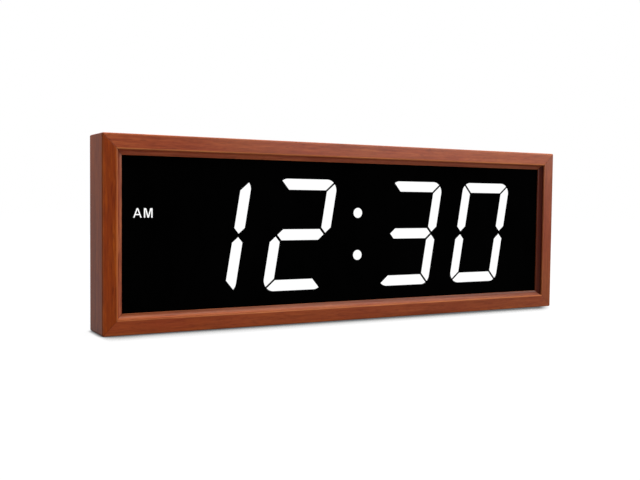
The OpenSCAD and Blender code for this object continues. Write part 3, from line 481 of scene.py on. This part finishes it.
def moulding_length(name, length, to_frame, material, node):
    """One mitred length of moulding. It is swept along X at the bottom, then turned to its place.

    Each ring of points is a side, an outline, a turn on the corner, a step back from the mitre, and the mark
    of the joint, which is 1 at the mitre.
    """
    section, section_wear_and_highlight, section_cove = moulding_section()
    eased = inset(section, JOINT_EASE)
    corner_turns = [math.radians(turn) for turn in CORNER_TURNS]
    ends = [(eased, corner_turns[0], 0.0, 1.0)]
    ends += [(section, turn, JOINT_EASE, 1.0) for turn in corner_turns]
    ends += [(section, 0.0, JOINT_FADE, 0.0)]
    rings = [(-1, *end) for end in ends] + [(1, *end) for end in reversed(ends)]

    points, joint = [], []
    for side, outline, turn, back, joined in rings:
        for depth, out in outline:
            from_end, rise = corner_place(out, turn)
            x = side * (length / 2 - from_end - back)
            points.append(to_frame @ Vector((x, BOTTOM_LEFT.y + depth, rise)))
            joint.append(joined)
    count = len(section)
    faces = [tuple(range(count)), tuple(range(len(points) - count, len(points)))]
    for ring in range(len(rings) - 1):
        faces += bridge(ring * count, (ring + 1) * count, count)

    piece = new_piece(name, points, faces)
    marks = {"worn_and_highlit": section_wear_and_highlight * len(rings), "cove": section_cove * len(rings), "joint": joint}
    for label, values in marks.items():
        piece.data.attributes.new(label, "FLOAT", "POINT").data.foreach_set("value", values)
    clean_mesh(piece.data, weld=True)
    finish_piece(piece, material)
    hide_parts(node)
    return piece


# How each length of wood differs, as the photograph shows it. Seed, figure and lacquer are its own; its tints
# along it and in its cove are partly its tone and partly painted sheen, highlight and shade, and its rubbed
# edges carry a painted highlight too
CUTS = {
    "bottom_rail": {
        "seed": 1, "figure": 1.3, "wear_and_highlight": 0.75, "tints": ((0.92, 0.84, 0.90), (0.79, 0.88, 1.46)),
        "coves": (((1.88, 3.06, 5.50), (0.72, 0.89, 1.22)), ((1.33, 2.17, 3.90), (0.51, 0.63, 0.87))),
    },
    "top_rail": {
        "seed": 2, "figure": 1.6, "wear_and_highlight": 1.0, "tints": ((1.05, 1.08, 1.76), (1.14, 1.38, 2.50)),
        "coves": (((1.45, 1.57, 2.09), (0.93, 0.88, 0.85)), ((0.88, 0.95, 1.27), (0.56, 0.53, 0.52))),
    },
    "left_stile": {
        "seed": 7, "figure": 2.4, "wear_and_highlight": 0.8, "tints": ((0.89, 0.76, 0.22),) * 2,
        "coves": (((0.99, 1.44, 10.0), (0.99, 1.44, 11.0)),) * 2, "coat": 0.26,
    },
    "right_stile": {
        "seed": 4, "figure": 1.5, "wear_and_highlight": 0.4, "tints": ((0.80, 0.99, 1.62), (0.91, 1.12, 2.48)),
        "coves": (((0.36, 0.15, 0.05), (0.38, 0.18, 0.08)),) * 2,
    },
}

# Weight of the lacquer on the frame's upper face, turned down as painted shade to hold back the lamps' glare
# there, and the least upward lean of that face's normal
DULLED_COAT = 0.05
UPPER_FACE = 0.99


def dull_upper_face(piece, dulled):
    """Gives the uppermost face a duller lacquer: painted shade that holds back the lamps' glare on it."""
    piece.data.materials.append(dulled)
    for face in piece.data.polygons:
        if face.normal.z > UPPER_FACE:
            face.material_index = 1


def wooden_frame():
    """The four lengths, each with its own cut of wood: length, place, turn in degrees and grain's axis."""
    middle = FRAME_H / 2
    lay = {
        "bottom_rail": (FRAME_W, (0, 0, 0), 0, 0),
        "top_rail": (FRAME_W, (0, 0, FRAME_H), 180, 0),
        "left_stile": (FRAME_H, (BOTTOM_LEFT.x, 0, middle), 90, 2),
        "right_stile": (FRAME_H, (TOP_RIGHT.x, 0, middle), -90, 2),
    }
    for node, (length, at, turn, along) in lay.items():
        to_frame = Matrix.Translation(at) @ Matrix.Rotation(math.radians(turn), 4, "Y")
        material = stained_wood(node + "_wood", along, **CUTS[node])
        piece = moulding_length(node + "_moulding", length, to_frame, material, node)
        if node == "top_rail":
            dull_upper_face(piece, stained_wood("dulled_wood", along, **CUTS[node], coat=DULLED_COAT))


# Light on the lens

# How far a lit plate stands out of the lens, goes into it, and ends inside its diffuser's outline
LIT_PROUD = 0.06 * MM
LIT_SUNK = 0.02 * MM
LIT_INSET = 0.16 * MM

# The bars that are lit, by their usual letters, and the upper and lower dots
LIT_BARS = {
    "hour_tens_segments": "bc",
    "hour_units_segments": "abged",
    "minute_tens_segments": "abgcd",
    "minute_units_segments": "abcdef",
    "colon_dots": "ud",
}

# Shares of a digit's height: the middle bar lies nearer its middle than the first, an end bar past the second
MIDDLE_BAR = 0.1
END_BAR = 0.35

# Faces that meet at less than this turn in degrees become one, and a front's normal has its Y below this
FLAT_TURN = 1.0
FRONT_FACING = -0.9


def bar_letter(node, centre, low, high):
    """The usual letter of a digit's bar, from where its middle lies in the digit. A dot is u or d."""
    across = (centre.x - (low.x + high.x) / 2) / (high.x - low.x)
    up = (centre.y - (low.z + high.z) / 2) / (high.z - low.z)
    if node == "colon_dots":
        return "u" if up > 0 else "d"
    if abs(up) < MIDDLE_BAR:
        return "g"
    if abs(up) > END_BAR:
        return "a" if up > 0 else "d"
    if across > 0:
        return "b" if up > 0 else "c"
    return "f" if up > 0 else "e"


def front_outlines(node):
    """The outline of each diffuser's front, clockwise, as points across and up."""
    work = bmesh.new()
    work.from_mesh(frame["nodes"][node].data)
    bmesh.ops.remove_doubles(work, verts=work.verts, dist=WELD)
    bmesh.ops.dissolve_limit(work, angle_limit=math.radians(FLAT_TURN), verts=work.verts, edges=work.edges)
    fronts = [face for face in work.faces if face.normal.y < FRONT_FACING]
    outlines = [[Vector((vert.co.x, vert.co.z)) for vert in reversed(face.verts)] for face in fronts]
    work.free()
    return outlines


def lit_bars(node, letters, material):
    """The lit bars of one digit: thin plates on the lens, just inside the outlines of its diffusers."""
    low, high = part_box(node)
    points, faces = [], []
    for outline in front_outlines(node):
        centre = sum(outline, Vector((0, 0))) / len(outline)
        if bar_letter(node, centre, low, high) not in letters:
            continue
        start, count = len(points), len(outline)
        drawn = inset(outline, LIT_INSET)
        for depth in (LENS_FACE - LIT_PROUD, LENS_FACE + LIT_SUNK):
            points += [Vector((point.x, depth, point.y)) for point in drawn]
        faces += [tuple(range(start, start + count)), tuple(range(start + count, start + 2 * count))]
        faces += bridge(start, start + count, count)
    piece = new_piece(node.replace("segments", "light").replace("dots", "light"), points, faces)
    finish_piece(piece, material)


# Outlines of the two legend letters in millimetres, clockwise from the lower left, a hole the other way
LETTER_W = 5.85
LETTER_H = 6.2
LETTER_GAP = 1.0
LETTER_STEM = LETTER_W / 5
LETTER_MID = LETTER_W / 2
BAR_LOW = LETTER_H / 4
BAR_HIGH = BAR_LOW + LETTER_H / 6
LEG_LEAN = (LETTER_MID - LETTER_STEM / 2) / LETTER_H
LEG_LOW = LETTER_STEM + BAR_LOW * LEG_LEAN
LEG_HIGH = LETTER_STEM + BAR_HIGH * LEG_LEAN
HOLE_TOP = (LETTER_MID - LETTER_STEM) / LEG_LEAN
ARM_W = LETTER_STEM * 1.5
DIP = LETTER_H / 3
LETTER_A = [
    [(0, 0), (LETTER_MID - LETTER_STEM / 2, LETTER_H), (LETTER_MID + LETTER_STEM / 2, LETTER_H),
     (LETTER_W, 0), (LETTER_W - LETTER_STEM, 0), (LETTER_W - LEG_LOW, BAR_LOW), (LEG_LOW, BAR_LOW),
     (LETTER_STEM, 0)],
    [(LEG_HIGH, BAR_HIGH), (LETTER_W - LEG_HIGH, BAR_HIGH), (LETTER_MID, HOLE_TOP)],
]
LETTER_M = [
    [(0, 0), (0, LETTER_H), (ARM_W, LETTER_H), (LETTER_MID, DIP), (LETTER_W - ARM_W, LETTER_H),
     (LETTER_W, LETTER_H), (LETTER_W, 0), (LETTER_W - LETTER_STEM, 0),
     (LETTER_W - LETTER_STEM, LETTER_H - DIP), (LETTER_MID + LETTER_STEM / 2, 0),
     (LETTER_MID - LETTER_STEM / 2, 0), (LETTER_STEM, LETTER_H - DIP), (LETTER_STEM, 0)],
]

# How far the lit letters end inside those outlines, and the height of the indicator's upper cell
LETTER_INSET = 0.17 * MM
LEGEND_CELL_H = 8.3 * MM


def letter_mesh(name, outlines):
    """A flat filled letter with a little thickness, as a mesh in its own plane."""
    curve = bpy.data.curves.new(name, "CURVE")
    curve.dimensions = "2D"
    curve.fill_mode = "BOTH"
    curve.extrude = (LIT_PROUD + LIT_SUNK) / 2
    for outline in outlines:
        spline = curve.splines.new("POLY")
        spline.points.add(len(outline) - 1)
        drawn = inset([Vector(corner) * MM for corner in outline], LETTER_INSET)
        for point, (x, z) in zip(spline.points, drawn):
            point.co = (x, z, 0, 1)
        spline.use_cyclic_u = True
    shape = bpy.data.objects.new(name, curve)
    scene.collection.objects.link(shape)
    bpy.context.view_layer.update()
    mesh = bpy.data.meshes.new_from_object(shape.evaluated_get(bpy.context.evaluated_depsgraph_get()))
    bpy.data.objects.remove(shape)
    bpy.data.curves.remove(curve)
    mesh.name = name
    return mesh


def legend(material):
    """The lit legend of the upper indicator."""
    low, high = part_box("indicator_diffusers")
    left = (low.x + high.x) / 2 - (LETTER_W + LETTER_GAP / 2) * MM
    base = high.z - (LEGEND_CELL_H + LETTER_H * MM) / 2
    depth = LENS_FACE + (LIT_SUNK - LIT_PROUD) / 2
    upright = Matrix.Rotation(math.pi / 2, 4, "X")
    starts = {"legend_a_light": (LETTER_A, 0), "legend_m_light": (LETTER_M, (LETTER_W + LETTER_GAP) * MM)}
    for name, (outlines, start) in starts.items():
        mesh = letter_mesh(name, outlines)
        mesh.transform(Matrix.Translation((left + start, depth, base)) @ upright)
        piece = bpy.data.objects.new(name, mesh)
        scene.collection.objects.link(piece)
        finish_piece(piece, material)


# Finishes of the solids

# Plastics by slot: name, dark and light colour or grey, roughness, size and depth of the grain in millimetres
PLASTICS = {
    "black_foam": ("foam_tape", 0.012, 0.022, 0.9, 0.35, 0.1),
    "black_housing": ("housing_plastic", 0.010, 0.016, 0.55, 0.5, 0.05),
    "led_package": ("led_package", (0.62, 0.56, 0.30), (0.78, 0.70, 0.40), 0.4, 0.2, 0.02),
    "chip_package": ("chip_epoxy", 0.014, 0.022, 0.6, 0.12, 0.02),
    "plunger_plastic": ("plunger_plastic", (0.42, 0.06, 0.03), (0.52, 0.09, 0.05), 0.5, 0.2, 0.02),
    "button_plastic": ("button_plastic", 0.040, 0.055, 0.48, 0.25, 0.03),
    "rear_plastic": ("rear_plastic", 0.011, 0.017, 0.58, 0.42, 0.08),
    "inlet_plastic": ("inlet_plastic", 0.006, 0.010, 0.30, 0.3, 0.01),
    "wire_insulation": ("wire_insulation", (0.08, 0.012, 0.010), (0.13, 0.02, 0.016), 0.4, 0.3, 0.02),
}

# Metals by slot: name, dark and light colour, and roughness
METALS = {
    "zinc_steel": ("zinc_steel", (0.50, 0.51, 0.53), (0.66, 0.66, 0.66), 0.34),
    "aluminium_can": ("aluminium_can", (0.60, 0.61, 0.63), (0.72, 0.73, 0.74), 0.28),
    "contact_metal": ("contact_brass", (0.62, 0.42, 0.16), (0.78, 0.58, 0.27), 0.26),
}


def dress_solids(light):
    """One finish for each of the record's slots. The wooden solids get one too, under their mouldings."""
    finishes = {
        "wood_frame": stained_wood("spare_wood", along=0, seed=9),
        "smoked_lens": smoked_acrylic(),
        "lit_diffuser": light,
        "circuit_board": solder_mask(),
    }
    finishes.update((slot, moulded_plastic(*look)) for slot, look in PLASTICS.items())
    finishes.update((slot, plated_metal(*look)) for slot, look in METALS.items())
    for subpart in frame["record"]["subparts"]:
        mesh = frame["nodes"][subpart["node"]].data
        mesh.materials.clear()
        mesh.materials.append(finishes[subpart["material_slot"]])


# Stage, light and camera

# Strength of the white world as a light on the object
WORLD_LIGHT = 0.02

# The floor: radius, sides, where its white starts to rise and reaches the background's, its glow before that,
# its colour as it is seen, and its colour for the light that it sends back to the object
FLOOR_R = 4.0
FLOOR_SIDES = 96
FLOOR_NEAR = 0.35
FLOOR_FAR = 0.9
FLOOR_LIFT = 0.96
FLOOR_SEEN = 0.04
FLOOR_BOUNCE = 0.20

# Shading at the object's foot, as the photograph shows it: its reach, how open the floor still is where it is
# full, the darkest that it gets, and its strength at the left and the right end
CONTACT_REACH = 0.022
CONTACT_FULL = 0.55
CONTACT_MOST = 0.85
CONTACT_ENDS = (0.88, 1.60)

# Where that shading is whole and where it is gone: along X at the left end, and along a slanted line, which
# gains by the lean for each metre of Y, at the front right and at the rear left
CONTACT_LEFT = (BOTTOM_LEFT.x + 1.0 * MM, BOTTOM_LEFT.x - 3.5 * MM)
CONTACT_LEAN = -0.9
CONTACT_FRONT_RIGHT = (TOP_RIGHT.x, TOP_RIGHT.x + 14 * MM)
CONTACT_REAR_LEFT = (BOTTOM_LEFT.x - 8 * MM, BOTTOM_LEFT.x - 18 * MM)


def seen_rays(tree):
    """1 for rays that show the background itself, from the camera, off a gloss or through something clear."""
    path = tree.nodes.new("ShaderNodeLightPath")
    total = path.outputs["Is Camera Ray"]
    for name in ("Is Glossy Ray", "Is Transmission Ray"):
        node = tree.nodes.new("ShaderNodeMath")
        node.operation = "MAXIMUM"
        tree.links.new(total, node.inputs[0])
        tree.links.new(path.outputs[name], node.inputs[1])
        total = node.outputs["Value"]
    return total


def white_world():
    """A white background whose light on the object is softer than it looks."""
    world = bpy.data.worlds.new("studio")
    scene.world = world
    world.use_nodes = True
    tree = world.node_tree
    shade = tree.nodes["Background"]
    shade.inputs["Color"].default_value = (*WHITE, 1)
    strength = tree.nodes.new("ShaderNodeMapRange")
    strength.inputs["To Min"].default_value = WORLD_LIGHT
    strength.inputs["To Max"].default_value = 1.0
    tree.links.new(seen_rays(tree), strength.inputs["Value"])
    tree.links.new(strength.outputs["Result"], shade.inputs["Strength"])


def contact_shade(finish, where):
    """How light the floor stays: 1 in the open, and less where the object's foot shades it."""
    open_share = finish.node("ShaderNodeAmbientOcclusion", {"Distance": CONTACT_REACH}).outputs["AO"]
    shut = finish.span(open_share, CONTACT_FULL, 1.0, 1.0, 0.0)
    split = finish.parts(where)
    strength = finish.span(split["X"], BOTTOM_LEFT.x, TOP_RIGHT.x, *CONTACT_ENDS)
    shut = finish.math("MINIMUM", finish.math("MULTIPLY", shut, strength), CONTACT_MOST)
    leaning = finish.math("MULTIPLY_ADD", split["Y"], CONTACT_LEAN, split["X"])
    limits = ((split["X"], CONTACT_LEFT), (leaning, CONTACT_FRONT_RIGHT), (leaning, CONTACT_REAR_LEFT))
    for along, (whole, gone) in limits:
        shut = finish.math("MULTIPLY", shut, finish.span(along, whole, gone, 1.0, 0.0, smooth=True))
    return finish.math("SUBTRACT", 1.0, shut)


def pale_floor():
    """A round white floor. It keeps the shadow at the object's foot, and fades into the background."""
    mesh = bpy.data.meshes.new("floor")
    work = bmesh.new()
    bmesh.ops.create_circle(work, cap_ends=True, segments=FLOOR_SIDES, radius=FLOOR_R)
    work.to_mesh(mesh)
    work.free()
    floor = bpy.data.objects.new("floor", mesh)
    scene.collection.objects.link(floor)
    finish = Finish("pale_floor", Roughness=0.9, Specular_IOR_Level=0.0, Emission_Color=(*WHITE, 1))
    seen = seen_rays(finish.tree)
    where = finish.node("ShaderNodeTexCoord").outputs["Object"]
    away = finish.node("ShaderNodeVectorMath", {"Vector": where}, operation="LENGTH").outputs["Value"]
    lift = finish.span(away, FLOOR_NEAR, FLOOR_FAR, FLOOR_LIFT, 1.0, smooth=True)
    contact = contact_shade(finish, where)
    seen_white = finish.mix(1.0, contact, (FLOOR_SEEN,) * 3, "MULTIPLY")
    finish.feed(finish.shader, {
        "Base_Color": finish.mix(seen, (FLOOR_BOUNCE,) * 3, seen_white),
        "Emission_Strength": finish.math("MULTIPLY", finish.math("MULTIPLY", lift, seen), contact),
    })
    mesh.materials.append(finish.material)


# Soft lights: place, width and height, and watts
LAMPS = {
    "overhead": ((0.34, -0.12, 1.0), (1.4, 1.1), 30.0),
    "right_front": ((1.63, -1.64, 0.58), (2.0, 0.6), 43.0),
    "left_side": ((-0.37, 0.03, 0.43), (0.3, 0.3), 1.42),
    "rear_fill": ((0.5, 1.2, 0.6), (0.8, 0.8), 7.0),
}


def soft_light(name, at, size, power):
    """A rectangular soft light at a place, turned to the middle of the object."""
    lamp = bpy.data.lights.new(name, "AREA")
    lamp.shape = "RECTANGLE"
    lamp.size, lamp.size_y = size
    lamp.energy = power
    light = bpy.data.objects.new(name, lamp)
    light.location = at
    aim = Vector((0, 0, FRAME_H / 2)) - Vector(at)
    light.rotation_euler = aim.to_track_quat("-Z", "Y").to_euler()
    light.visible_camera = False
    scene.collection.objects.link(light)


# The camera's place and angles, solved from the corners of the frame and the lens in the photograph
CAMERA_AT = (-0.3174, -0.5221, 0.0840)
CAMERA_YAW = 29.307
CAMERA_PITCH = 2.698
CAMERA_ROLL = 0.611
FOCAL_PIXELS = 851.2
IMAGE_W = 640
SENSOR_W = 36.0
CLIP_START = 0.01
CLIP_END = 4 * FLOOR_R


def photo_camera():
    """A camera at the photograph's view: yaw to the right of +Y, pitch down, roll to the left."""
    data = bpy.data.cameras.new("camera")
    data.sensor_width = SENSOR_W
    data.lens = FOCAL_PIXELS * SENSOR_W / IMAGE_W
    data.clip_start, data.clip_end = CLIP_START, CLIP_END
    camera = bpy.data.objects.new("camera", data)
    level = Matrix.Rotation(math.pi / 2, 4, "X")
    turn = Matrix.Rotation(-math.radians(CAMERA_YAW), 4, "Z")
    tilt = Matrix.Rotation(-math.radians(CAMERA_PITCH), 4, "X")
    roll = Matrix.Rotation(math.radians(CAMERA_ROLL), 4, "Z")
    camera.matrix_world = Matrix.Translation(CAMERA_AT) @ turn @ tilt @ level @ roll
    scene.collection.objects.link(camera)
    scene.camera = camera


# Making the scene

scene.view_settings.view_transform = "Standard"
photo_camera()
white_world()
for lamp_name, lamp_look in LAMPS.items():
    soft_light(lamp_name, *lamp_look)
pale_floor()
light_material = lit_white()
dress_solids(light_material)
wooden_frame()
for bar_node, lit_letters in LIT_BARS.items():
    lit_bars(bar_node, lit_letters, light_material)
legend(light_material)
